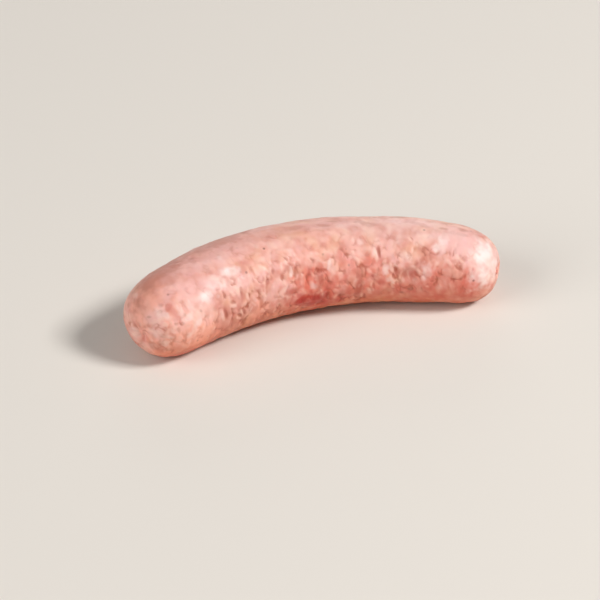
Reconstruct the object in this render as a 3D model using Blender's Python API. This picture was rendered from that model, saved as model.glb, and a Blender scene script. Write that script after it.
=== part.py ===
"""One fresh pork sausage link, lying on its side, at its real size.

The link is a single solid: coarse minced meat packed in a natural casing. It is bent into a shallow
bow, thickest a third of the way along, and domed at both ends. At each tip the twisted casing has
been cut off, so the skin gathers there in short pleats round a small sunken stub. Under its own
weight the soft meat settles into a narrow flat along the underside, which the link rests on.

Frame: +X runs along the link from its fuller end to its slimmer one, +Y points to the outside of the
bow and +Z is up. The origin is the middle of the footprint, on the surface that the link rests on.
"""

import math

import bmesh
import bpy
from mathutils import Vector, noise

MM = 0.001

# The bow, measured along the middle of the link from tip to tip.
LENGTH = 149.6 * MM
BEND = math.radians(63.0)  # between the directions of the two ends
BEND_EASE = 0.4  # share of the bend's tightness that is gone at the tips

# Thickness, evenly spaced from the fuller tip to the slimmer one, as if the link weren't domed.
DIAMETERS = [d * MM for d in (30.8, 34.0, 35.3, 34.6, 33.4, 31.7, 28.4)]
WIDTH_SHARE = 1.03  # of the diameter: the soft link spreads sideways
HEIGHT_SHARE = 0.97
SAG = 1.0 * MM  # how far the underside settles into a flat

# The domed ends. A fullness of 2 is an ellipse, and more is blunter.
FULL_DOME = {"length": 19.0 * MM, "fullness": 3.0}
SLIM_DOME = {"length": 19.8 * MM, "fullness": 2.6}

# The gathered skin at each tip, by distance from the tip.
NAVEL_DEPTH = 1.2 * MM
NAVEL_RADIUS = 3.0 * MM
STUB_HEIGHT = 0.9 * MM  # less than the navel's depth, so that the tip stays sunken
STUB_TOP_RADIUS = 0.7 * MM
STUB_FOOT_RADIUS = 1.9 * MM
PLEATS = 8
PLEAT_DEPTH = 0.3 * MM
PLEAT_REACH = 2.6 * MM  # where the pleats are deepest
PLEAT_SWIRL = 1.1  # radians that the twist turns the pleats by at the stub

# Gentle unevenness of the filling under the casing.
SWELL_HEIGHT = 0.45 * MM
SWELL_SPACING = 19.0 * MM
LUMP_HEIGHT = 0.22 * MM
LUMP_SPACING = 6.0 * MM
PATTERN_START = Vector((3.7, 11.2, 5.9))  # picks one unevenness out of all those of this kind
CALM_REACH = 4.0 * MM  # of the smooth skin round each tip

# The mesh.
SIDES = 48
RINGS = 96
RING_CROWDING = 0.6  # share by which the rings close up towards the tips
FINE_STEPS = 1200  # of the curves that the rings are read from

SKIN_COLOUR = (0.82, 0.42, 0.35, 1.0)
SKIN_ROUGHNESS = 0.38


def clear_scene():
    """Removes whatever the startup file holds."""
    for old in list(bpy.data.objects):
        bpy.data.objects.remove(old, do_unlink=True)


def smooth_step(low, high, value):
    """0 below low, 1 above high and an S-curve between them."""
    share = min(1.0, max(0.0, (value - low) / (high - low)))
    return share * share * (3.0 - 2.0 * share)


def along(values, share):
    """The value at a share from 0 to 1 of evenly spaced values, on a smooth curve through them."""
    padded = [2 * values[0] - values[1], *values, 2 * values[-1] - values[-2]]
    place = min(1.0, max(0.0, share)) * (len(values) - 1)
    index = min(int(place), len(values) - 2)
    before, start, end, after = padded[index : index + 4]
    t = place - index
    return 0.5 * (
        2 * start
        + (end - before) * t
        + (2 * before - 5 * start + 4 * end - after) * t**2
        + (3 * start - before - 3 * end + after) * t**3
    )


def dome_share(distance, dome):
    """How much of the full thickness is left at a distance from the tip."""
    inward = min(1.0, max(0.0, 1.0 - distance / dome["length"]))
    return (1.0 - inward ** dome["fullness"]) ** (1.0 / dome["fullness"])


def full_radius(station):
    """Half the thickness at a distance along the link, before doming."""
    return along(DIAMETERS, station / LENGTH) / 2


def reach(station):
    """How far the skin is from the centreline at a distance along the link."""
    domes = dome_share(station, FULL_DOME) * dome_share(LENGTH - station, SLIM_DOME)
    return full_radius(station) * domes


def bow():
    """Points of the centreline in plan, as (x, y, heading), evenly spaced along the link."""
    step = LENGTH / FINE_STEPS
    heading = 0.0
    place = Vector((0.0, 0.0))
    points = []
    for index in range(FINE_STEPS + 1):
        points.append((place.x, place.y, heading))
        off_middle = 2 * (index + 0.5) / FINE_STEPS - 1
        tightness = (1 - BEND_EASE * off_middle**2) / (1 - BEND_EASE / 3)
        heading -= BEND * tightness / FINE_STEPS
        place += Vector((math.cos(heading), math.sin(heading))) * step
    middle_heading = points[FINE_STEPS // 2][2]
    cosine, sine = math.cos(-middle_heading), math.sin(-middle_heading)
    return [
        (x * cosine - y * sine, x * sine + y * cosine, turn - middle_heading)
        for x, y, turn in points
    ]


def skin_profile():
    """The link's outline as (distance over the skin from the fuller tip, station, reach)."""
    profile = [(0.0, 0.0, 0.0)]
    for index in range(1, FINE_STEPS + 1):
        # Stations crowd towards the tips, where a blunt dome widens fastest.
        station = LENGTH * (1 - math.cos(math.pi * index / FINE_STEPS)) / 2
        here = 0.0 if index == FINE_STEPS else reach(station)
        travelled, last_station, last_reach = profile[-1]
        travelled += math.hypot(station - last_station, here - last_reach)
        profile.append((travelled, station, here))
    return profile


def read_at(rows, distance):
    """The rest of a row of numbers at a distance, which is each row's first number."""
    low, high = 0, len(rows) - 1
    while high - low > 1:
        middle = (low + high) // 2
        if rows[middle][0] > distance:
            high = middle
        else:
            low = middle
    share = (distance - rows[low][0]) / (rows[high][0] - rows[low][0])
    return [a + (b - a) * share for a, b in zip(rows[low][1:], rows[high][1:])]


def gathered_inset(off_tip, turn):
    """How far the skin is drawn in at a distance from a tip: the navel, its stub and the pleats."""
    navel = NAVEL_DEPTH * math.exp(-((off_tip / NAVEL_RADIUS) ** 2))
    stub = STUB_HEIGHT * (1 - smooth_step(STUB_TOP_RADIUS, STUB_FOOT_RADIUS, off_tip))
    far = off_tip / PLEAT_REACH
    swirl = PLEAT_SWIRL * math.exp(-far)
    fold = 0.5 + 0.5 * math.cos(PLEATS * (turn + swirl))
    pleat = PLEAT_DEPTH * fold * (far * math.exp(1 - far)) ** 2
    return navel - stub + pleat


def unevenness(place):
    """How far the filling pushes the casing out at a point of the skin."""
    swell = noise.noise(place / SWELL_SPACING + PATTERN_START)
    lump = noise.noise(place / LUMP_SPACING + PATTERN_START)
    return swell * SWELL_HEIGHT + lump * LUMP_HEIGHT


def skin_point(ring, turn, profile, centreline):
    """The place of a skin point: ring runs from 0 to 1 over the skin, and turn goes round it."""
    crowded = ring - RING_CROWDING * math.sin(2 * math.pi * ring) / (2 * math.pi)
    station, out = read_at(profile, crowded * profile[-1][0])
    inwards = 1 if station < LENGTH / 2 else -1
    x, y, heading = read_at(centreline, station + inwards * gathered_inset(out, turn))
    axis_point = Vector((x, y, full_radius(station) * HEIGHT_SHARE - SAG))
    sideways = Vector((-math.sin(heading), math.cos(heading), 0.0)) * WIDTH_SHARE
    upwards = Vector((0.0, 0.0, HEIGHT_SHARE))
    outward = sideways * math.cos(turn) + upwards * math.sin(turn)
    even_place = axis_point + outward * out
    place = even_place + outward * unevenness(even_place) * smooth_step(0.0, CALM_REACH, out)
    place.z = max(0.0, place.z)
    return place


def skin_material():
    """The raw meat's pink, seen through a moist casing."""
    material = bpy.data.materials.new("raw_sausage")
    material.use_nodes = True
    shader = material.node_tree.nodes["Principled BSDF"]
    shader.inputs["Base Color"].default_value = SKIN_COLOUR
    shader.inputs["Roughness"].default_value = SKIN_ROUGHNESS
    shader.inputs["Metallic"].default_value = 0.0
    return material


def sausage_link():
    """The link, from a sphere whose poles become the two tips."""
    profile = skin_profile()
    centreline = [
        (index * LENGTH / FINE_STEPS, *point) for index, point in enumerate(bow())
    ]
    skin = bmesh.new()
    bmesh.ops.create_uvsphere(skin, u_segments=SIDES, v_segments=RINGS, radius=1.0)
    for vertex in skin.verts:
        ring = math.acos(min(1.0, max(-1.0, vertex.co.z))) / math.pi
        turn = math.atan2(vertex.co.y, vertex.co.x)
        vertex.co = skin_point(ring, turn, profile, centreline)
    lowest = [min(v.co[axis] for v in skin.verts) for axis in range(3)]
    highest = [max(v.co[axis] for v in skin.verts) for axis in range(3)]
    footprint_middle = Vector(
        ((lowest[0] + highest[0]) / 2, (lowest[1] + highest[1]) / 2, lowest[2])
    )
    bmesh.ops.translate(skin, vec=-footprint_middle, verts=skin.verts)
    bmesh.ops.recalc_face_normals(skin, faces=skin.faces)
    mesh = bpy.data.meshes.new("sausage_link")
    skin.to_mesh(mesh)
    skin.free()
    mesh.shade_smooth()
    mesh.materials.append(skin_material())
    link = bpy.data.objects.new("sausage_link", mesh)
    bpy.context.scene.collection.objects.link(link)
    return link


clear_scene()
sausage_link()
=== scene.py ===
"""Dresses one fresh pork sausage link: coarse minced meat seen through a moist natural casing.

The skin is a fine mesh of the same form as the solid that it stands for, with the relief of the
filling worked into it. Its finish reads the skin's own attributes, which say how fat or lean the
meat is at each point, where the casing folds into it, and where light and shade are painted on it.
"""

import logging
import math
import random
from dataclasses import dataclass, field, replace
from enum import Enum
from functools import cached_property

import bmesh
import bpy
import numpy as np
from mathutils import Matrix, Vector, noise


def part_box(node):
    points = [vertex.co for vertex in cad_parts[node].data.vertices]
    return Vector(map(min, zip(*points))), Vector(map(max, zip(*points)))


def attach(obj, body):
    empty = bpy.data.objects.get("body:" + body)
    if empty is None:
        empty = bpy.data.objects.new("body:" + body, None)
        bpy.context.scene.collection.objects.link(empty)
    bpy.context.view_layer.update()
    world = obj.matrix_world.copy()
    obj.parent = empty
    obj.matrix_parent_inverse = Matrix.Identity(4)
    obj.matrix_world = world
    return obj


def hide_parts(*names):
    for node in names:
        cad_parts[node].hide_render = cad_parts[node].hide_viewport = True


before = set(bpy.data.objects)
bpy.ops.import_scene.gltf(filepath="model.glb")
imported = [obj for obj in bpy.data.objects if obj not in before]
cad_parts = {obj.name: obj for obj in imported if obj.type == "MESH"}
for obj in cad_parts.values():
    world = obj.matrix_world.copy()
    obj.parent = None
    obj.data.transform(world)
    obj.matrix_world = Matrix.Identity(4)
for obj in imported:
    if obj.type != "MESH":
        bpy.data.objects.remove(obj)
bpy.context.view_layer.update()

LOG = logging.getLogger("sausage")
MM = 0.001
NODE = "sausage_link"


def smooth_step(low: float, high: float, value: np.ndarray) -> np.ndarray:
    """Rises along an S-curve from 0 to 1 between two values.

    Args:
        low: Where the curve leaves 0.
        high: Where the curve reaches 1.
        value: The numbers to put on the curve.

    Returns:
        A number from 0 to 1 for each value.
    """
    share = np.clip((value - low) / (high - low), 0.0, 1.0)
    return share * share * (3.0 - 2.0 * share)


def noise_at(places: np.ndarray, spacing: float, start: float) -> np.ndarray:
    """Reads soft noise at many places.

    Args:
        places: One row of three coordinates for each place, in metres.
        spacing: Rough distance between the noise's swells, in metres.
        start: Picks one noise out of all those of this spacing.

    Returns:
        A number from about -1 to 1 for each place.
    """
    return np.array([noise.noise(place) for place in (places / spacing + start).tolist()])


@dataclass(frozen=True)
class Dome:
    """A rounded end of the link."""

    length: float
    fullness: float

    def share(self, distance: np.ndarray) -> np.ndarray:
        """Gives the share of the full thickness that is left at distances from the tip."""
        inward = np.clip(1.0 - distance / self.length, 0.0, 1.0)
        return (1.0 - inward**self.fullness) ** (1.0 / self.fullness)


@dataclass(frozen=True)
class Gather:
    """The casing's gather at each tip, where its twist was cut off."""

    navel_depth: float = 1.2 * MM
    navel_radius: float = 3.0 * MM
    stub_height: float = 0.9 * MM
    stub_top_radius: float = 0.7 * MM
    stub_foot_radius: float = 1.9 * MM
    pleats: int = 8
    pleat_depth: float = 0.3 * MM
    pleat_reach: float = 2.6 * MM
    pleat_swirl: float = 1.1

    def inset(self, off_tip: np.ndarray, turn: np.ndarray) -> np.ndarray:
        """Gives how far the skin is drawn in.

        Args:
            off_tip: Distances from the tip, over the skin's face, in metres.
            turn: Angles round the tip, in radians.

        Returns:
            Depths along the link's middle, in metres.
        """
        navel = self.navel_depth * np.exp(-((off_tip / self.navel_radius) ** 2))
        stub = self.stub_height * (1.0 - smooth_step(self.stub_top_radius, self.stub_foot_radius, off_tip))
        return navel - stub + self.pleat_depth * self.pleat(off_tip, turn)

    def pleat(self, off_tip: np.ndarray, turn: np.ndarray) -> np.ndarray:
        """Gives how deep in a pleat each point is, from 0 to 1."""
        far = off_tip / self.pleat_reach
        uneven = 0.9 * np.sin(2.0 * turn + 1.0) + 0.6 * np.sin(3.0 * turn + 2.2)
        fold = 0.5 + 0.5 * np.cos(self.pleats * (turn + self.pleat_swirl * np.exp(-far)) + uneven)
        depth = 0.7 + 0.3 * np.sin(3.0 * turn + 0.5)
        return fold * depth * (far * np.exp(1.0 - far)) ** 2


@dataclass(frozen=True)
class LinkForm:
    """The link's even form: a bowed, domed tube that has settled onto a narrow flat."""

    length: float = 149.6 * MM
    bend: float = math.radians(63.0)
    bend_ease: float = 0.4
    diameters: tuple[float, ...] = tuple(d * MM for d in (30.8, 34.0, 35.3, 34.6, 33.4, 31.7, 28.4))
    width_share: float = 1.03
    height_share: float = 0.97
    sag: float = 1.0 * MM
    full_dome: Dome = Dome(19.0 * MM, 3.0)
    slim_dome: Dome = Dome(19.8 * MM, 2.6)
    gather: Gather = Gather()
    fine_steps: int = 1200

    def full_radius(self, station: np.ndarray) -> np.ndarray:
        """Gives half the thickness before doming, on a smooth curve through the diameters."""
        sizes = np.array(self.diameters)
        padded = np.concatenate([[2 * sizes[0] - sizes[1]], sizes, [2 * sizes[-1] - sizes[-2]]])
        place = np.clip(station / self.length, 0.0, 1.0) * (len(sizes) - 1)
        index = np.minimum(place.astype(int), len(sizes) - 2)
        before, start, end, after = (padded[index + step] for step in range(4))
        t = place - index
        rise = (end - before) * t
        curve = (2 * before - 5 * start + 4 * end - after) * t**2
        turn = (3 * start - before - 3 * end + after) * t**3
        return (2 * start + rise + curve + turn) / 4

    def reach(self, station: np.ndarray) -> np.ndarray:
        """Gives how far the skin is from the middle at distances along the link."""
        domes = self.full_dome.share(station) * self.slim_dome.share(self.length - station)
        return self.full_radius(station) * domes

    def centreline(self, station: np.ndarray) -> tuple[np.ndarray, np.ndarray, np.ndarray]:
        """Gives x, y and the heading of the link's middle, in plan, at distances along it."""
        steps = np.linspace(0.0, self.length, self.fine_steps + 1)
        off_middle = 2 * steps / self.length - 1
        eased = (off_middle - self.bend_ease * off_middle**3 / 3) / (1 - self.bend_ease / 3)
        heading = -self.bend / 2 * eased
        step = self.length / self.fine_steps
        rows = []
        for way in (np.cos(heading), np.sin(heading)):
            run = np.concatenate([[0.0], np.cumsum((way[1:] + way[:-1]) / 2 * step)])
            rows.append(np.interp(station, steps, run - run[self.fine_steps // 2]))
        return rows[0], rows[1], np.interp(station, steps, heading)

    @cached_property
    def profile(self) -> tuple[np.ndarray, np.ndarray, np.ndarray]:
        """Gives the outline as distances over the skin, stations and reaches, from tip to tip."""
        angle = np.linspace(0.0, math.pi, self.fine_steps + 1)
        station = self.length * (1.0 - np.cos(angle)) / 2
        out = self.reach(station)
        out[[0, -1]] = 0.0
        walked = np.hypot(np.diff(station), np.diff(out))
        return np.concatenate([[0.0], np.cumsum(walked)]), station, out


@dataclass(frozen=True)
class SkinPoints:
    """Where each vertex of the skin is on the link's even form."""

    walk: np.ndarray
    station: np.ndarray
    turn: np.ndarray
    out: np.ndarray

    @property
    def straight(self) -> np.ndarray:
        """Gives the places as if the link weren't bowed, so that patterns follow its length."""
        return np.stack([self.station, self.out * np.cos(self.turn), self.out * np.sin(self.turn)], axis=1)

    def off(self, angle: float) -> np.ndarray:
        """Gives how far each point is round the link from an angle, in radians either way."""
        return np.abs(np.arctan2(np.sin(self.turn - angle), np.cos(self.turn - angle)))


class Mark(Enum):
    """What stands out in a patch of meat under the casing, or what is painted on it as light or shade."""

    # Pale fat, and on the tips and flakes a painted highlight.
    FAT_AND_HIGHLIGHT = "fat"
    LEAN = "lean"
    BLOOD = "blood"
    FLUSH = "flush"
    # Painted light.
    PAINTED_LIGHT_PEACH = "painted_light_peach"
    LILAC = "lilac"
    # Mauve spots, and painted shade along the back edge.
    SHADE = "shade"
    FOLD = "fold"
    STRAND = "strand"
    CALM = "calm"


@dataclass(frozen=True)
class Patch:
    """One oval patch of meat that stands out, or of painted light or shade, or one short thin stroke of it.

    Its middle is a distance over the skin from the fuller tip, in millimetres, and an angle in
    degrees round the link, from the outside of the bow through the top. Its length runs along the
    link before it is tilted.
    """

    mark: Mark
    walk: float
    turn: float
    length: float
    width: float
    tilt: float = 0.0
    strength: float = 1.0
    bend: float = 0.0

    def lip(self) -> "Patch":
        """Gives the pale raised strand that lies along one side of a fold, its paleness partly a painted highlight
        on the fold's edge.
        """
        tilt = math.radians(self.tilt)
        aside = 0.75 * self.width
        turn = self.turn + math.degrees(math.cos(tilt) * aside / 17.0)
        return replace(self, mark=Mark.STRAND, walk=self.walk - math.sin(tilt) * aside, turn=turn)

    def pose(self, form: LinkForm) -> tuple[np.ndarray, np.ndarray, np.ndarray]:
        """Gives the patch's middle and the ways along its length and its width, on the unbowed link."""
        walks, stations, reaches = form.profile
        here, ahead = (
            np.array([np.interp(walk * MM, walks, row) for row in (stations, reaches)])
            for walk in (self.walk, self.walk + 1.0)
        )
        angle, tilt = math.radians(self.turn), math.radians(self.tilt)
        outward = np.array([0.0, math.cos(angle), math.sin(angle)])
        onward = outward * (ahead - here)[1] + np.array([(ahead - here)[0], 0.0, 0.0])
        onward /= np.linalg.norm(onward)
        around = np.array([0.0, -math.sin(angle), math.cos(angle)])
        middle = outward * here[1] + np.array([here[0], 0.0, 0.0])
        lengthways = onward * math.cos(tilt) + around * math.sin(tilt)
        return middle, lengthways, around * math.cos(tilt) - onward * math.sin(tilt)

    def cover(self, straight: np.ndarray, form: LinkForm) -> tuple[np.ndarray, np.ndarray]:
        """Gives which points the patch reaches, and how much of it is at each.

        Args:
            straight: The skin's points on the unbowed link.
            form: The link that the patch is on.

        Returns:
            The numbers of the points, and for each a share from 0 to the patch's strength.
        """
        middle, lengthways, sideways = self.pose(form)
        half_length, half_width = self.length * MM / 2, self.width * MM / 2
        off = straight - middle
        near = np.flatnonzero((off * off).sum(axis=1) < (1.9 * max(half_length, half_width)) ** 2)
        off = off[near]
        u = off @ lengthways / half_length
        v = off @ sideways / half_width + self.bend * (u * u - 0.5)
        under = off @ np.cross(lengthways, sideways) / (2 * max(half_length, half_width))
        rag = min(4.0, 0.7 * self.length) * MM
        ragged = 0.4 * noise_at(straight[near], rag, self.walk) + 0.2 * noise_at(straight[near], rag / 3, self.turn)
        inside = 1.0 - np.sqrt(u * u + v * v + under * under) - ragged
        return near, self.strength * smooth_step(-0.3, 0.6, inside)


@dataclass(frozen=True)
class Scatter:
    """Many random patches of a few kinds, in one band round the link."""

    marks: tuple[Mark, ...]
    count: int
    seed: int
    lengths: tuple[float, float]
    widths: tuple[float, float]
    tilts: tuple[float, float]
    strengths: tuple[float, float]
    bends: float = 0.0
    turns: tuple[float, float] = (0.0, 360.0)
    walks: tuple[float, float] = (4.0, 165.0)

    def patches(self) -> list[Patch]:
        """Draws the patches."""
        draw = random.Random(self.seed)
        return [
            Patch(
                draw.choice(self.marks),
                draw.uniform(*self.walks),
                draw.uniform(*self.turns),
                draw.uniform(*self.lengths),
                draw.uniform(*self.widths),
                draw.uniform(*self.tilts),
                draw.uniform(*self.strengths),
                draw.uniform(-self.bends, self.bends),
            )
            for _ in range(self.count)
        ]


@dataclass(frozen=True)
class Filling:
    """The coarse mince: its relief under the casing, its mottle of fat and lean, and where light and shade are
    painted on it.
    """

    swell_height: float = 0.45 * MM
    swell_spacing: float = 19.0 * MM
    lump_height: float = 0.22 * MM
    lump_spacing: float = 6.0 * MM
    pattern_start: tuple[float, float, float] = (3.7, 11.2, 5.9)
    knot_spacing: float = 4.6 * MM
    knot_height: float = 0.26 * MM
    grain_spacing: float = 2.9 * MM
    grain_stretch: float = 1.35
    grain_height: float = 0.26 * MM
    seam_depth: float = 0.2 * MM
    seam_width: float = 0.2
    strand_spacing: float = 1.5 * MM
    strand_stretch: float = 2.4
    strand_height: float = 0.15 * MM
    fold_depth: float = 0.14 * MM
    lip_height: float = 0.1 * MM
    wrinkle_spacing: float = 1.1 * MM
    wrinkle_height: float = 0.03 * MM
    streak_spacing: float = 2.6 * MM
    streak_stretch: float = 0.22
    smooth_side: float = math.radians(92.0)
    patches: tuple[Patch, ...] = ()

    def unevenness(self, places: np.ndarray) -> np.ndarray:
        """Gives the broad swells and lumps of the solid that the skin stands for, in metres."""
        start = np.array(self.pattern_start)
        swell = noise_at(places, self.swell_spacing, start)
        lump = noise_at(places, self.lump_spacing, start)
        return swell * self.swell_height + lump * self.lump_height

    def showing(self, skin: SkinPoints) -> np.ndarray:
        """Gives how strongly the mince shows through the casing, which is least along the top."""
        wander = 0.3 * noise_at(skin.straight, 11 * MM, 8.4)
        from_smooth = skin.off(self.smooth_side) + wander
        far_side = 0.35 * smooth_step(-0.3, 0.6, np.cos(skin.turn))
        return (0.38 + 0.62 * smooth_step(0.25, 0.95, from_smooth)) * (1.0 - far_side)

    @staticmethod
    def painted_underside_shade(skin: SkinPoints, form: LinkForm) -> np.ndarray:
        """Gives how strongly each point is painted with shade and a warm painted reflection from below: most low
        down on the inside of the bow.
        """
        across, up = (skin.straight / (max(form.diameters) / 2)).T[1:]
        return smooth_step(-0.25, 0.8, -up) * (0.35 + 0.65 * smooth_step(-0.1, 0.7, -across))

    @staticmethod
    def warped(skin: SkinPoints, spacing: float, reach: float, start: float) -> np.ndarray:
        """Shifts the unbowed places about, so that a pattern read there looks kneaded.

        Args:
            skin: The points of the skin.
            spacing: Rough distance between the swirls, in metres.
            reach: How far a point is moved, in metres.
            start: Picks one kneading.

        Returns:
            One row of three coordinates for each point.
        """
        swirls = [noise_at(skin.straight, spacing, start + 6.4 * axis) for axis in range(3)]
        return skin.straight + np.stack(swirls, axis=1) * reach

    def grains(self, skin: SkinPoints) -> tuple[np.ndarray, np.ndarray, np.ndarray]:
        """Reads the pattern of mince grains.

        Args:
            skin: The points to read it at.

        Returns:
            How far each point is from its grain's middle and from the seam round the grain, both
            in grains, and its grain's own number from 0 to 1.
        """
        stretch = np.array([1.0, self.grain_stretch, self.grain_stretch])
        fray = np.stack([noise_at(skin.straight, 1.7 * MM, start) for start in (2.9, 5.3, 9.1)], axis=1)
        cells = (self.warped(skin, 5 * MM, 2.2 * MM, 1.3) + fray * 0.6 * MM) / stretch / self.grain_spacing
        rows = []
        for place in cells.tolist():
            distances, points = noise.voronoi(place)
            rows.append((distances[0], distances[1] - distances[0], noise.cell(points[0])))
        middle, seam, own = np.array(rows).T
        return middle, seam, own * 0.5 + 0.5

    def strands(self, skin: SkinPoints) -> np.ndarray:
        """Gives the ridges of thin strands of meat, which lie across the link at many slants."""
        stretch = np.array([1.0, self.strand_stretch, self.strand_stretch])
        ridges = noise_at(self.warped(skin, 4 * MM, 2.6 * MM, 51.3) / stretch, self.strand_spacing, 7.7)
        return ridges * smooth_step(-0.3, 0.3, noise_at(skin.straight, 6 * MM, 57.1))

    def marked(self, mark: Mark, skin: SkinPoints, form: LinkForm) -> np.ndarray:
        """Gives how much of the patches of one kind is at each point, from 0 to 1."""
        straight = skin.straight
        total = np.zeros(len(straight))
        for patch in self.patches:
            if patch.mark is mark:
                near, cover = patch.cover(straight, form)
                total[near] = np.maximum(total[near], cover)
        return total

    def read(self, skin: SkinPoints, form: LinkForm) -> tuple[np.ndarray, dict[str, np.ndarray]]:
        """Works out the fine relief, and what the finish needs to know at each point.

        Args:
            skin: The points to read the mince at.
            form: The link that it fills.

        Returns:
            How far the fine relief stands out, in metres, and the numbers by attribute name.
        """
        marks = {mark: self.marked(mark, skin, form) for mark in Mark}
        calm = marks.pop(Mark.CALM)
        showing = self.showing(skin) * (1.0 - 0.8 * calm)
        middle, seam, own = self.grains(skin)
        strands = self.strands(skin)
        tips = smooth_step(2.0 * MM, 7.0 * MM, np.minimum(skin.walk, skin.walk.max() - skin.walk))
        smear = (1.0 - 0.7 * marks[Mark.FAT_AND_HIGHLIGHT]) * (1.0 - 0.4 * marks[Mark.BLOOD]) * tips
        seams = smooth_step(0.0, 0.35, noise_at(skin.straight, 3.4 * MM, 61.0)) * showing * smear
        knot = noise_at(self.warped(skin, 7 * MM, 2.5 * MM, 34.1), self.knot_spacing, 15.5)
        relief = self.grain_height * (0.35 + 0.65 * own) * (0.55 - 1.3 * middle**2) + self.knot_height * knot
        relief = (relief + self.strand_height * strands) * showing * smear
        relief = relief - self.seam_depth * np.exp(-((seam / self.seam_width) ** 2)) * seams
        relief = relief + (self.lip_height * marks[Mark.STRAND] - self.fold_depth * marks[Mark.FOLD]) * smear
        wrinkle = self.wrinkle_height * noise_at(skin.straight, self.wrinkle_spacing, 71.5) * tips
        body = (own - 0.5) * smooth_step(0.0, 0.35, seam)
        mottle = 0.65 * body
        for share, spacing, start in ((0.3, 1.9 * MM, 81.0), (0.35, 3.2 * MM, 87.0), (0.6, 6.0 * MM, 84.0)):
            mottle = mottle + share * noise_at(skin.straight, spacing, start)
        lengthways = skin.straight * np.array([self.streak_stretch, 1.0, 1.0])
        streaks = noise_at(lengthways, self.streak_spacing, 97.0) * (1.0 - showing)
        warmth = 0.6 * noise_at(skin.straight, 4.2 * MM, 101.0) + 0.5 * noise_at(skin.straight, 11 * MM, 107.0)
        marks[Mark.FAT_AND_HIGHLIGHT] = marks[Mark.FAT_AND_HIGHLIGHT] * np.clip(0.95 + 0.8 * mottle, 0.5, 1.0)
        marks[Mark.FLUSH] = marks[Mark.FLUSH] * np.clip(0.85 - 0.8 * mottle, 0.3, 1.0)
        # The pleats of the gather take the folds' painted shade.
        gathered = 0.8 * form.gather.pleat(skin.out, skin.turn)
        marks[Mark.FOLD] = np.maximum(marks[Mark.FOLD] * smear * (1.0 - 0.7 * calm), gathered)
        marks[Mark.STRAND] = marks[Mark.STRAND] * (1.0 - 0.7 * marks[Mark.BLOOD]) * (1.0 - 0.7 * calm)
        numbers = {mark.value + "_mark": cover for mark, cover in marks.items()}
        numbers |= {
            "fatness": 0.5 + mottle * (0.5 + 0.5 * showing) + 0.5 * streaks,
            "warmth": 0.5 + warmth,
            "painted_underside_shade": self.painted_underside_shade(skin, form),
            "leanness": 0.5 + noise_at(skin.straight, 8.5 * MM, 91.0),
            "raised": relief / (0.25 * MM),
            "seam": seam,
            "seams": seams,
        }
        return relief + wrinkle, numbers


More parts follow.
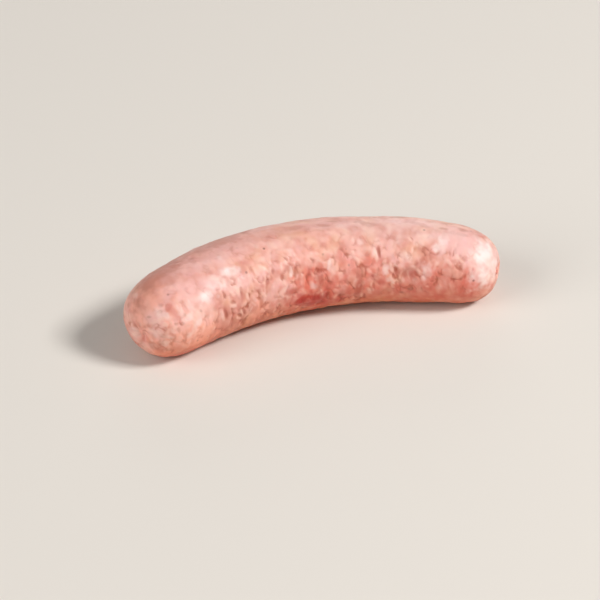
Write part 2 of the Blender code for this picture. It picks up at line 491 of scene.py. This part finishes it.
SEEN_PATCHES = (
    Patch(Mark.CALM, 26, 150, 28, 50, 0, 0.5),
    Patch(Mark.CALM, 10, 150, 26, 30, 0, 0.2),
    Patch(Mark.CALM, 138, 208, 62, 15, 0, 0.95),
    Patch(Mark.CALM, 156, 190, 20, 18, 0, 0.7),
    Patch(Mark.CALM, 24, 212, 40, 14, 0, 0.6),
    # Painted light: paler, warmer patches on the fuller dome and low on the front of the fuller half, where they
    # face the lamps.
    Patch(Mark.PAINTED_LIGHT_PEACH, 23, 192, 26, 26, 0, 0.95),
    Patch(Mark.PAINTED_LIGHT_PEACH, 10, 190, 14, 26, 0, 1.0),
    Patch(Mark.PAINTED_LIGHT_PEACH, 22, 160, 12, 9, 0, 0.6),
    Patch(Mark.PAINTED_LIGHT_PEACH, 7, 140, 15, 38, 0, 0.75),
    Patch(Mark.PAINTED_LIGHT_PEACH, 57, 190, 12, 12, 0, 0.5),
    Patch(Mark.LILAC, 146, 106, 20, 16, 0, 0.9),
    Patch(Mark.LILAC, 32, 128, 26, 11, 8, 0.7),
    Patch(Mark.LILAC, 51, 142, 9, 6, 0, 0.7),
    Patch(Mark.LILAC, 45, 94, 46, 13, 0, 0.65),
    Patch(Mark.LILAC, 9, 125, 7, 9, 0, 0.7),
    Patch(Mark.LILAC, 92, 86, 50, 6, 0, 0.5),
    Patch(Mark.LILAC, 126, 82, 30, 5, 0, 0.6),
    # Pale fat on the fuller half; its two brightest flakes are partly a painted highlight.
    Patch(Mark.FAT_AND_HIGHLIGHT, 47.5, 124, 10, 4.5, 12, 1.0),
    Patch(Mark.FAT_AND_HIGHLIGHT, 32.5, 140, 8, 5.5, 20, 0.75),
    Patch(Mark.FAT_AND_HIGHLIGHT, 40, 130, 10, 6, 15, 0.45),
    Patch(Mark.FAT_AND_HIGHLIGHT, 28, 155, 16, 10, 0, 0.3),
    # The white cap of the slimmer tip and the pale top beside it: pale fat and a painted highlight where they face
    # the key light.
    Patch(Mark.FAT_AND_HIGHLIGHT, 158.5, 125, 14, 21, 0, 1.0),
    Patch(Mark.FAT_AND_HIGHLIGHT, 162, 130, 10, 12, 0, 0.8),
    Patch(Mark.FAT_AND_HIGHLIGHT, 158, 104, 12, 12, 0, 0.65),
    Patch(Mark.FAT_AND_HIGHLIGHT, 139, 110, 5, 10, 0, 0.7),
    Patch(Mark.FAT_AND_HIGHLIGHT, 122, 96, 50, 14, 0, 0.3),
    # Small flecks of fat.
    Patch(Mark.FAT_AND_HIGHLIGHT, 136.5, 124, 4, 4, 0, 0.6),
    Patch(Mark.FAT_AND_HIGHLIGHT, 123.5, 140, 6, 4, 0, 0.5),
    Patch(Mark.FAT_AND_HIGHLIGHT, 133, 160, 4, 7, 10, 0.45),
    Patch(Mark.FAT_AND_HIGHLIGHT, 115.5, 158, 3, 5, 15, 0.6),
    Patch(Mark.FAT_AND_HIGHLIGHT, 91, 146, 1.8, 5, 20, 0.6),
    Patch(Mark.FAT_AND_HIGHLIGHT, 73.5, 147, 2, 5, 25, 0.8),
    Patch(Mark.FAT_AND_HIGHLIGHT, 82.5, 171, 3, 4.5, -20, 0.55),
    Patch(Mark.FAT_AND_HIGHLIGHT, 4, 330, 5, 5, 0, 0.4),
    Patch(Mark.FAT_AND_HIGHLIGHT, 13, 124, 5, 6, 0, 0.5),
    Patch(Mark.FAT_AND_HIGHLIGHT, 10.5, 188, 4, 4, 20, 0.5),
    Patch(Mark.FAT_AND_HIGHLIGHT, 7, 250, 6, 8, 0, 0.4),
    Patch(Mark.FAT_AND_HIGHLIGHT, 20, 150, 4, 8, 0, 0.35),
    Patch(Mark.LILAC, 9, 148, 7, 7, 0, 0.6),
    Patch(Mark.FLUSH, 84, 182, 34, 23, 0, 0.9),
    Patch(Mark.FLUSH, 84, 198, 34, 20, 0, 1.0),
    Patch(Mark.FLUSH, 98, 160, 20, 14, 0, 0.45),
    Patch(Mark.FLUSH, 108, 182, 28, 22, 0, 0.75),
    Patch(Mark.FLUSH, 134, 190, 46, 20, 0, 0.75),
    Patch(Mark.FLUSH, 153, 180, 14, 15, 0, 1.0),
    Patch(Mark.BLOOD, 83.5, 192, 11, 6.5, 10, 1.0),
    Patch(Mark.BLOOD, 78, 190, 8, 4.8, -10, 1.0),
    Patch(Mark.BLOOD, 88.5, 187, 3.4, 6, 10, 0.8),
    Patch(Mark.BLOOD, 82, 184, 3.0, 5, -20, 0.6),
    Patch(Mark.BLOOD, 76, 182, 5, 3, 20, 0.55),
    Patch(Mark.BLOOD, 83, 201, 13, 5, 0, 0.7),
    Patch(Mark.BLOOD, 92, 204, 12, 5, 0, 0.35),
    Patch(Mark.BLOOD, 86, 162, 3.4, 10, 0, 0.4),
    Patch(Mark.BLOOD, 72.5, 173, 7, 3, -8, 0.45),
    Patch(Mark.BLOOD, 82, 151, 2.4, 2.6, 0, 0.4),
    Patch(Mark.BLOOD, 81.5, 156, 2.2, 6, 10, 0.25),
    Patch(Mark.BLOOD, 84.5, 172, 2.8, 8, -10, 0.35),
    Patch(Mark.SHADE, 86, 162, 4.4, 11, 0, 0.75),
    Patch(Mark.SHADE, 82, 152, 3.0, 4, 0, 0.6),
    Patch(Mark.SHADE, 72, 174, 8, 3.4, -8, 0.6),
    Patch(Mark.BLOOD, 103.5, 180, 3.0, 11, 4, 0.35),
    Patch(Mark.SHADE, 104, 181, 4.0, 15, 4, 0.8),
    Patch(Mark.SHADE, 104.5, 159, 4, 4, 0, 0.6),
    Patch(Mark.SHADE, 127, 161, 8.6, 8, 0, 0.75),
    Patch(Mark.BLOOD, 127.5, 164, 5.0, 4.0, 0, 0.4),
    Patch(Mark.SHADE, 119.3, 155.5, 2.8, 3.6, 0, 1.0),
    Patch(Mark.SHADE, 126, 187, 2.8, 2.2, 0, 0.9),
    Patch(Mark.SHADE, 122.5, 194, 2.2, 1.8, 0, 0.8),
    Patch(Mark.FOLD, 112.8, 136, 6, 1.9, 82, 1.0),
    Patch(Mark.FOLD, 119.6, 157, 3, 1.9, 70, 1.0),
    Patch(Mark.BLOOD, 112, 172, 8, 3, 30, 0.45),
    Patch(Mark.BLOOD, 17, 126, 3.2, 3.4, 0, 0.35),
    Patch(Mark.LEAN, 17, 128, 3.6, 5.4, 0, 0.5),
    Patch(Mark.LEAN, 17.5, 138, 3.6, 7, 0, 0.5),
    Patch(Mark.LEAN, 41, 182, 16, 12, 0, 0.9),
    Patch(Mark.LEAN, 40, 171, 3, 5, 0, 0.9),
    Patch(Mark.LEAN, 46, 158, 8, 5, 15, 0.8),
    Patch(Mark.LEAN, 53, 180, 5, 5, 0, 0.9),
    Patch(Mark.LEAN, 95, 192, 5, 4, 0, 0.8),
    Patch(Mark.LEAN, 104.5, 196, 4, 5, 0, 0.8),
    Patch(Mark.LEAN, 112.5, 136, 2, 8, 8, 0.9),
    Patch(Mark.LEAN, 119, 156, 3.2, 4, 0, 1.0),
    Patch(Mark.LEAN, 133, 139, 9, 3.4, -28, 0.9),
    Patch(Mark.LEAN, 130, 130, 3, 5, 15, 0.6),
    Patch(Mark.LEAN, 145, 140, 7, 2.4, -12, 0.9),
    Patch(Mark.LEAN, 147, 152, 2.2, 8, 0, 0.9),
    Patch(Mark.LEAN, 143, 158, 12, 12, 0, 0.5),
    Patch(Mark.LEAN, 103, 142, 2, 3, 0, 0.8),
    Patch(Mark.LEAN, 103.5, 163, 2.6, 9, 6, 0.9),
    Patch(Mark.LEAN, 12.5, 158, 5, 4, 0, 0.8),
    Patch(Mark.LEAN, 13, 166, 3, 2, 40, 0.9),
    Patch(Mark.LEAN, 10, 212, 4, 7, 0, 0.9),
    # Painted shade along the back edge of the fuller half, on the side away from the key light.
    Patch(Mark.SHADE, 27, 66, 32, 14, 0, 0.9),
    Patch(Mark.SHADE, 24, 82, 20, 11, 0, 0.55),
    Patch(Mark.SHADE, 52, 68, 40, 11, 0, 0.9),
    Patch(Mark.SHADE, 66, 82, 84, 12, 0, 0.35),
    # Two mauve marks on the back rim.
    Patch(Mark.SHADE, 82, 86, 13, 4, -6, 0.75),
    Patch(Mark.SHADE, 97, 79, 6, 2.6, 8, 0.7),
    # Painted shade on top of the fuller dome.
    Patch(Mark.SHADE, 11, 84, 7, 8, 0, 0.3),
    # Small grey marks.
    Patch(Mark.SHADE, 146, 94, 8, 2.6, -8, 0.4),
    Patch(Mark.SHADE, 138, 89, 4, 1.6, 0, 0.7),
    Patch(Mark.SHADE, 154, 118, 3, 1.4, 15, 0.6),
    Patch(Mark.SHADE, 7, 214, 6, 5, 0, 0.8),
    Patch(Mark.LEAN, 39.5, 176, 8, 4, 80, 0.9),
    Patch(Mark.FOLD, 39.5, 172, 6, 2.2, 80, 1.0),
    Patch(Mark.FOLD, 44, 162, 4, 1.8, 20, 1.0),
    Patch(Mark.FOLD, 52, 161, 3.4, 1.5, 85, 1.0),
    Patch(Mark.FOLD, 48.5, 179, 3.6, 1.7, 70, 1.0),
    Patch(Mark.FOLD, 46.5, 184, 3.2, 1.6, 40, 0.9),
    Patch(Mark.SHADE, 10, 168, 3.2, 2.2, 20, 0.5),
    Patch(Mark.SHADE, 14, 176, 2.4, 3.6, 0, 0.6),
    Patch(Mark.SHADE, 8.5, 196, 2.2, 4.4, 10, 0.55),
    Patch(Mark.SHADE, 12, 203, 3.6, 2.0, -15, 0.6),
    Patch(Mark.SHADE, 16.5, 163, 2.0, 3.0, 0, 0.5),
    Patch(Mark.SHADE, 6, 176, 2.4, 3.4, 0, 0.3),
    Patch(Mark.STRAND, 12.2, 172, 4.2, 1.8, 10, 0.8),
    Patch(Mark.STRAND, 11.2, 184, 4.4, 1.8, -15, 0.8),
    Patch(Mark.STRAND, 16, 186, 4.0, 2.0, 30, 0.6),
    Patch(Mark.STRAND, 8.2, 205, 4.6, 2.0, -5, 0.7),
    Patch(Mark.FAT_AND_HIGHLIGHT, 7.2, 160, 2.6, 4.2, 0, 0.6),
    Patch(Mark.FAT_AND_HIGHLIGHT, 22.5, 152, 5.0, 3.6, 0, 0.6),
    Patch(Mark.FAT_AND_HIGHLIGHT, 25.5, 166, 6.5, 4.0, -20, 0.6),
    Patch(Mark.FAT_AND_HIGHLIGHT, 14.5, 132, 2.4, 4.6, 0, 0.6),
    Patch(Mark.FAT_AND_HIGHLIGHT, 20.5, 178, 3.6, 3.0, 0, 0.4),
    Patch(Mark.LILAC, 8, 160, 8, 8, 0, 0.6),
    Patch(Mark.LILAC, 17, 148, 6, 8, 0, 0.5),
    Patch(Mark.BLOOD, 17.8, 143, 3.4, 8, -10, 0.16),
)
SCATTERS = (
    Scatter((Mark.FAT_AND_HIGHLIGHT, Mark.LEAN, Mark.LEAN, Mark.BLOOD), 44, 11, (2.4, 8), (2.2, 6), (-50, 50), (0.3, 0.65), turns=(236, 426)),
    Scatter((Mark.FLUSH,), 7, 5, (18, 34), (14, 24), (-20, 20), (0.4, 0.8), turns=(236, 386)),
    Scatter((Mark.FAT_AND_HIGHLIGHT,), 40, 23, (1.6, 4), (1.4, 3), (-90, 90), (0.15, 0.4)),
    Scatter((Mark.FOLD,), 60, 31, (1.8, 4.2), (1.2, 2.2), (30, 130), (0.3, 0.9), 1.0, (125, 250), (34, 165)),
    Scatter((Mark.FOLD,), 34, 32, (1.8, 4.2), (1.2, 2.2), (30, 130), (0.2, 0.6), 1.0, (300, 420)),
    # More painted shade, scattered along the back edge.
    Scatter((Mark.SHADE,), 22, 51, (3, 9), (1.8, 4), (-25, 25), (0.3, 0.7), 0.6, (40, 88)),
    Scatter((Mark.FOLD,), 30, 33, (1.2, 2.6), (1.0, 1.6), (-40, 50), (0.3, 0.7), 1.0),
    Scatter((Mark.STRAND,), 120, 41, (2.0, 4.6), (1.0, 2.0), (35, 125), (0.2, 0.9), 0.8, (128, 236), (6, 165)),
    Scatter((Mark.STRAND,), 110, 42, (2.0, 4.6), (1.0, 2.0), (35, 125), (0.2, 0.8), 0.8, (236, 420), (6, 165)),
    Scatter((Mark.STRAND,), 26, 61, (1.8, 3.8), (1.3, 2.4), (-40, 70), (0.5, 1.0), 0.4, (112, 215), (5, 23)),
    Scatter((Mark.SHADE,), 16, 62, (1.2, 2.4), (1.0, 2.0), (-40, 90), (0.4, 0.9), 0.5, (112, 215), (6, 36)),
)


def every_patch() -> tuple[Patch, ...]:
    """Gives the listed patches and the scattered ones."""
    patches = [*SEEN_PATCHES, *(patch for scatter in SCATTERS for patch in scatter.patches())]
    return (*patches, *(patch.lip() for patch in patches if patch.mark is Mark.FOLD))


class Bench:
    """Puts shader nodes in a material, one short call for each."""

    def __init__(self, name: str, colour: tuple[float, ...]) -> None:
        """Starts a material.

        Args:
            name: The material's name.
            colour: Its colour in the viewport.
        """
        self.material = bpy.data.materials.new(name)
        self.material.use_nodes = True
        self.material.diffuse_color = colour
        self.tree = self.material.node_tree
        self.shader = self.tree.nodes["Principled BSDF"]

    def node(self, kind: str, inputs: dict[int | str, object] | None = None, **settings: object):
        """Adds a node.

        Args:
            kind: The node's type without ShaderNode.
            inputs: What each input is set or linked to.
            settings: The node's own settings.

        Returns:
            The node.
        """
        made = self.tree.nodes.new("ShaderNode" + kind)
        for name, value in settings.items():
            setattr(made, name, value)
        for name, value in (inputs or {}).items():
            self.feed(made.inputs[name], value)
        return made

    def feed(self, socket: bpy.types.NodeSocket, value: object) -> None:
        """Sets an input, or links it if it is given another node's output."""
        if isinstance(value, bpy.types.NodeSocket):
            self.tree.links.new(value, socket)
        else:
            socket.default_value = value

    def read(self, name: str) -> bpy.types.NodeSocket:
        """Reads one of the piece's attributes."""
        return self.node("Attribute", attribute_name=name).outputs["Fac"]

    def sum(self, operation: str, *values: object) -> bpy.types.NodeSocket:
        """Does one sum."""
        return self.node("Math", dict(enumerate(values)), operation=operation).outputs[0]

    def step(self, value: object, low: float, high: float, top: float = 1.0) -> bpy.types.NodeSocket:
        """Turns the stretch from low to high into an S-curve from 0 to top."""
        inputs = {"Value": value, "From Min": low, "From Max": high, "To Max": top}
        return self.node("MapRange", inputs, interpolation_type="SMOOTHSTEP").outputs["Result"]

    def mix(self, share: object, first: object, second: object, blend: str = "MIX") -> bpy.types.NodeSocket:
        """Mixes two colours."""
        inputs = {0: share, 6: first, 7: second}
        return self.node("Mix", inputs, data_type="RGBA", blend_type=blend).outputs[2]

    def noise(self, spacing: float, detail: float = 2.0, **inputs: object) -> bpy.types.NodeSocket:
        """Reads soft noise of a spacing in metres, from 0 to 1, at the piece's own places."""
        places = self.node("TexCoord").outputs["Object"]
        settings = {"Vector": places, "Scale": 1.0 / spacing, "Detail": detail, **inputs}
        return self.node("TexNoise", settings).outputs["Fac"]


def paint(red: int, green: int, blue: int) -> tuple[float, float, float, float]:
    """Turns a colour as a paint chart gives it, from 0 to 255, into the linear one that shaders take."""
    parts = [value / 255 for value in (red, green, blue)]
    return (*(p / 12.92 if p <= 0.04045 else ((p + 0.055) / 1.055) ** 2.4 for p in parts), 1.0)


@dataclass(frozen=True)
class CasingFinish:
    """Raw mince under a moist, milky casing, with some of its light and shade painted into its colour."""

    pink: tuple = paint(234, 172, 157)
    # Pale fat, also painted light on raised lumps.
    cream: tuple = paint(247, 199, 184)
    # Pale strands, partly a painted highlight along the edges of folds.
    flake: tuple = paint(250, 208, 192)
    buff: tuple = paint(238, 184, 154)
    lilac: tuple = paint(241, 189, 182)
    # Pale fat, also used for painted highlights.
    fat_and_highlight_white: tuple = paint(251, 233, 227)
    rose: tuple = paint(214, 138, 122)
    # Mauve spots, and painted shade along the back edge.
    mauve: tuple = paint(190, 118, 98)
    blood: tuple = paint(186, 36, 18)
    flush: tuple = paint(226, 108, 86)
    # Painted light.
    painted_light_peach: tuple = paint(252, 180, 158)
    # Painted shade in the hollows.
    painted_hollow_shade: tuple = paint(220, 188, 172)
    # Painted shade in seams, folds and pleats.
    cleft: tuple = paint(202, 150, 132)
    # Painted shade and a warm painted reflection underneath.
    underside_bounce_amber: tuple = paint(236, 180, 134)
    speck: tuple = paint(132, 82, 72)
    roughness: float = 0.48
    specular: float = 0.32
    sheen: float = 0.05
    coat: float = 0.10
    coat_roughness: float = 0.32
    scatter_depth: float = 2.6 * MM

    def colour(self, bench: Bench) -> bpy.types.NodeSocket:
        """Mixes the meat's colour, with its painted light and shade, from the skin's attributes."""
        grain, warmth, raised = (bench.read(name) for name in ("fatness", "warmth", "raised"))
        meat = bench.mix(bench.step(grain, 0.4, 1.0, 0.75), self.pink, self.cream)
        meat = bench.mix(bench.step(bench.sum("SUBTRACT", 1.0, grain), 0.4, 1.0, 0.75), meat, self.rose)
        meat = bench.mix(bench.step(bench.read("leanness"), 0.4, 1.0, 0.4), meat, self.rose)
        meat = bench.mix(bench.step(warmth, 0.5, 1.0, 0.45), meat, self.buff)
        meat = bench.mix(bench.step(bench.sum("SUBTRACT", 1.0, warmth), 0.5, 1.0, 0.6), meat, self.lilac)
        # The peach patches are painted light, the mauve patches along the back edge painted shade, and the white fat
        # on the tips and the pale strands beside folds partly painted highlights.
        for mark, share, colour in (
            (Mark.PAINTED_LIGHT_PEACH, 0.85, self.painted_light_peach),
            (Mark.LILAC, 0.85, self.lilac),
            (Mark.FLUSH, 0.85, self.flush),
            (Mark.SHADE, 0.8, self.mauve),
            (Mark.LEAN, 0.7, self.rose),
            (Mark.FAT_AND_HIGHLIGHT, 0.85, self.fat_and_highlight_white),
            (Mark.STRAND, 0.6, self.flake),
            (Mark.BLOOD, 0.85, self.blood),
        ):
            meat = bench.mix(bench.sum("MULTIPLY", bench.read(mark.value + "_mark"), share), meat, colour)
        # Painted light on the raised lumps, and painted shade in the hollows between them.
        meat = bench.mix(bench.step(raised, 0.1, 1.2, 0.35), meat, self.cream)
        meat = bench.mix(bench.step(bench.sum("MULTIPLY", raised, -1.0), 0.0, 1.2, 0.8), meat, self.painted_hollow_shade, "MULTIPLY")
        # Darker along the seams between grains and in the folds and pleats: painted shade in these crevices.
        edge = bench.step(bench.sum("MULTIPLY", bench.read("seam"), -1.0), -0.36, 0.0)
        seam = bench.sum("MULTIPLY", edge, bench.read("seams"))
        meat = bench.mix(bench.sum("MULTIPLY", seam, 0.3), meat, self.cleft, "MULTIPLY")
        meat = bench.mix(bench.step(bench.read("fold_mark"), 0.0, 1.0, 0.5), meat, self.cleft, "MULTIPLY")
        # Painted shade and a warm painted reflection: darker and more orange low down on the inside of the bow.
        meat = bench.mix(bench.read("painted_underside_shade"), meat, self.underside_bounce_amber, "MULTIPLY")
        return self.specks(bench, meat)

    def specks(self, bench: Bench, meat: bpy.types.NodeSocket) -> bpy.types.NodeSocket:
        """Adds sparse dark specks of pepper under the casing."""
        places = bench.node("TexCoord").outputs["Object"]
        cells = bench.node("TexVoronoi", {"Vector": places, "Scale": 1.0 / (4.5 * MM)})
        draw = bench.node("SeparateColor", {0: cells.outputs["Color"]}).outputs
        near = bench.step(bench.sum("MULTIPLY", cells.outputs["Distance"], -1.0), -0.17, -0.03)
        chosen = bench.step(draw["Red"], 0.72, 1.0, 0.8)
        speck = bench.sum("MULTIPLY", chosen, near)
        return bench.mix(speck, meat, self.speck)

    def material(self) -> bpy.types.Material:
        """Builds the finish."""
        bench = Bench("moist_casing", self.pink)
        shader = bench.shader
        bench.feed(shader.inputs["Base Color"], self.colour(bench))
        damp = bench.node(
            "MapRange",
            {"Value": bench.noise(6 * MM), "To Min": self.roughness - 0.08, "To Max": self.roughness + 0.1},
        )
        bench.feed(shader.inputs["Roughness"], damp.outputs["Result"])
        shader.inputs["Subsurface Weight"].default_value = 0.3
        shader.inputs["Subsurface Radius"].default_value = (1.0, 0.4, 0.25)
        shader.inputs["Subsurface Scale"].default_value = self.scatter_depth
        shader.inputs["Specular IOR Level"].default_value = self.specular
        shader.inputs["Sheen Weight"].default_value = self.sheen
        shader.inputs["Coat Weight"].default_value = self.coat
        shader.inputs["Coat Roughness"].default_value = self.coat_roughness
        pores = bench.node("Bump", {"Strength": 0.35, "Distance": 0.08 * MM, "Height": bench.noise(0.6 * MM, 3.0)})
        bench.feed(shader.inputs["Normal"], pores.outputs["Normal"])
        return bench.material


@dataclass
class Link:
    """The sausage link."""

    form: LinkForm = field(default_factory=LinkForm)
    filling: Filling = field(default_factory=lambda: Filling(patches=every_patch()))
    finish: CasingFinish = field(default_factory=CasingFinish)
    sides: int = 230
    rings: int = 430
    ring_crowding: float = 0.3
    calm_reach: float = 4.0 * MM

    def read_sphere(self, skin: bmesh.types.BMesh) -> SkinPoints:
        """Finds where each vertex of a unit sphere goes on the link, with the poles at the tips."""
        ball = np.array([vertex.co for vertex in skin.verts])
        ring = np.arccos(np.clip(ball[:, 2], -1.0, 1.0)) / math.pi
        crowded = ring - self.ring_crowding * np.sin(2 * math.pi * ring) / (2 * math.pi)
        walks, stations, reaches = self.form.profile
        walk = crowded * walks[-1]
        station, out = np.interp(walk, walks, stations), np.interp(walk, walks, reaches)
        return SkinPoints(walk, station, np.arctan2(ball[:, 1], ball[:, 0]), out)

    def places(self, skin: SkinPoints, relief: np.ndarray) -> np.ndarray:
        """Puts every point of the skin in its place.

        Args:
            skin: The points on the even form.
            relief: How far the fine relief stands out at each, in metres.

        Returns:
            One row of x, y and z for each point.
        """
        form = self.form
        inwards = np.where(skin.station < form.length / 2, 1.0, -1.0)
        station = skin.station + inwards * form.gather.inset(skin.out, skin.turn)
        x, y, heading = form.centreline(station)
        height = form.full_radius(skin.station) * form.height_share - form.sag
        outward = np.stack(
            [
                -np.sin(heading) * form.width_share * np.cos(skin.turn),
                np.cos(heading) * form.width_share * np.cos(skin.turn),
                form.height_share * np.sin(skin.turn),
            ],
            axis=1,
        )
        even = np.stack([x, y, height], axis=1) + outward * skin.out[:, None]
        raised = self.filling.unevenness(even) * smooth_step(0.0, self.calm_reach, skin.out) + relief
        places = even + outward * raised[:, None]
        places[:, 2] = np.maximum(places[:, 2], 0.0)
        return places

    def build(self) -> bpy.types.Object:
        """Models the skin and stores on it what its finish reads."""
        mesh = bmesh.new()
        bmesh.ops.create_uvsphere(mesh, u_segments=self.sides, v_segments=self.rings, radius=1.0)
        skin = self.read_sphere(mesh)
        relief, numbers = self.filling.read(skin, self.form)
        places = self.places(skin, relief)
        low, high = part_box(NODE)
        middle = (np.array(low) + np.array(high)) / 2
        places[:, :2] += middle[:2] - (places.min(axis=0) + places.max(axis=0))[:2] / 2
        for vertex, place in zip(mesh.verts, places.tolist()):
            vertex.co = place
        bmesh.ops.recalc_face_normals(mesh, faces=mesh.faces)
        data = bpy.data.meshes.new("casing")
        mesh.to_mesh(data)
        mesh.free()
        data.shade_smooth()
        for name, values in numbers.items():
            layer = data.attributes.new(name, "FLOAT", "POINT")
            layer.data.foreach_set("value", values.astype(np.float32))
        data.materials.append(self.finish.material())
        piece = bpy.data.objects.new("casing", data)
        bpy.context.scene.collection.objects.link(piece)
        return piece


@dataclass(frozen=True)
class Lamp:
    """One soft square lamp, placed by degrees round from the link's front and above the floor."""

    name: str
    turn: float
    height: float
    size: float
    power: float


@dataclass(frozen=True)
class Studio:
    """The plain surroundings: a pale floor, soft lights and the camera."""

    floor_size: float = 6.0
    floor_colour: tuple = paint(226, 219, 210)
    lamps: tuple[Lamp, ...] = (
        Lamp("key", 60.0, 43.0, 0.6, 52.0),
        Lamp("fill", -76.0, 30.0, 1.6, 28.0),
        Lamp("back", 165.0, 12.0, 1.3, 8.0),
    )
    lamp_distance: float = 2.4
    world_strength: float = 0.17
    camera_turn: float = -17.0
    camera_height: float = 35.0
    camera_distance: float = 1.3333
    lens: float = 210.0
    target: tuple[float, float, float] = (-3.4 * MM, 0.2 * MM, 4.5 * MM)

    @staticmethod
    def direction(turn: float, height: float) -> Vector:
        """Gives the way towards a place, by degrees round from the front and above the horizon."""
        a, e = math.radians(turn), math.radians(height)
        return Vector((math.sin(a) * math.cos(e), -math.cos(a) * math.cos(e), math.sin(e)))

    def light(self, lamp: Lamp) -> None:
        """Hangs one soft square lamp that faces the link."""
        data = bpy.data.lights.new(lamp.name, "AREA")
        data.shape, data.size, data.energy = "SQUARE", lamp.size, lamp.power
        piece = bpy.data.objects.new(lamp.name, data)
        way = self.direction(lamp.turn, lamp.height)
        piece.location = way * self.lamp_distance
        piece.rotation_euler = way.to_track_quat("Z", "Y").to_euler()
        piece.visible_camera = False
        bpy.context.scene.collection.objects.link(piece)

    def floor(self) -> None:
        """Lays the floor under the link."""
        sheet = bmesh.new()
        bmesh.ops.create_grid(sheet, x_segments=1, y_segments=1, size=self.floor_size / 2)
        data = bpy.data.meshes.new("floor")
        sheet.to_mesh(data)
        sheet.free()
        bench = Bench("pale_floor", self.floor_colour)
        bench.shader.inputs["Base Color"].default_value = self.floor_colour
        bench.shader.inputs["Roughness"].default_value = 0.9
        data.materials.append(bench.material)
        piece = bpy.data.objects.new("floor", data)
        bpy.context.scene.collection.objects.link(piece)

    def camera(self) -> None:
        """Places the camera."""
        data = bpy.data.cameras.new("camera")
        data.lens, data.sensor_width = self.lens, 36.0
        data.clip_start, data.clip_end = 0.01, 50.0
        piece = bpy.data.objects.new("camera", data)
        way = self.direction(self.camera_turn, self.camera_height)
        piece.location = Vector(self.target) + way * self.camera_distance
        piece.rotation_euler = way.to_track_quat("Z", "Y").to_euler()
        bpy.context.scene.collection.objects.link(piece)
        bpy.context.scene.camera = piece

    def build(self) -> None:
        """Sets everything up."""
        scene = bpy.context.scene
        scene.view_settings.view_transform = "Standard"
        scene.world = scene.world or bpy.data.worlds.new("studio")
        scene.world.use_nodes = True
        sky = scene.world.node_tree.nodes["Background"]
        sky.inputs["Color"].default_value = (1.0, 1.0, 1.0, 1.0)
        sky.inputs["Strength"].default_value = self.world_strength
        self.floor()
        for lamp in self.lamps:
            self.light(lamp)
        self.camera()


def main() -> None:
    """Builds the link and its surroundings, and reports each piece."""
    logging.basicConfig(level=logging.INFO, format="%(name)s: %(message)s")
    Studio().build()
    piece = Link().build()
    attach(piece, "root")
    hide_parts(NODE)
    LOG.info("%s: %d vertices", piece.name, len(piece.data.vertices))


if __name__ == "__main__":
    main()
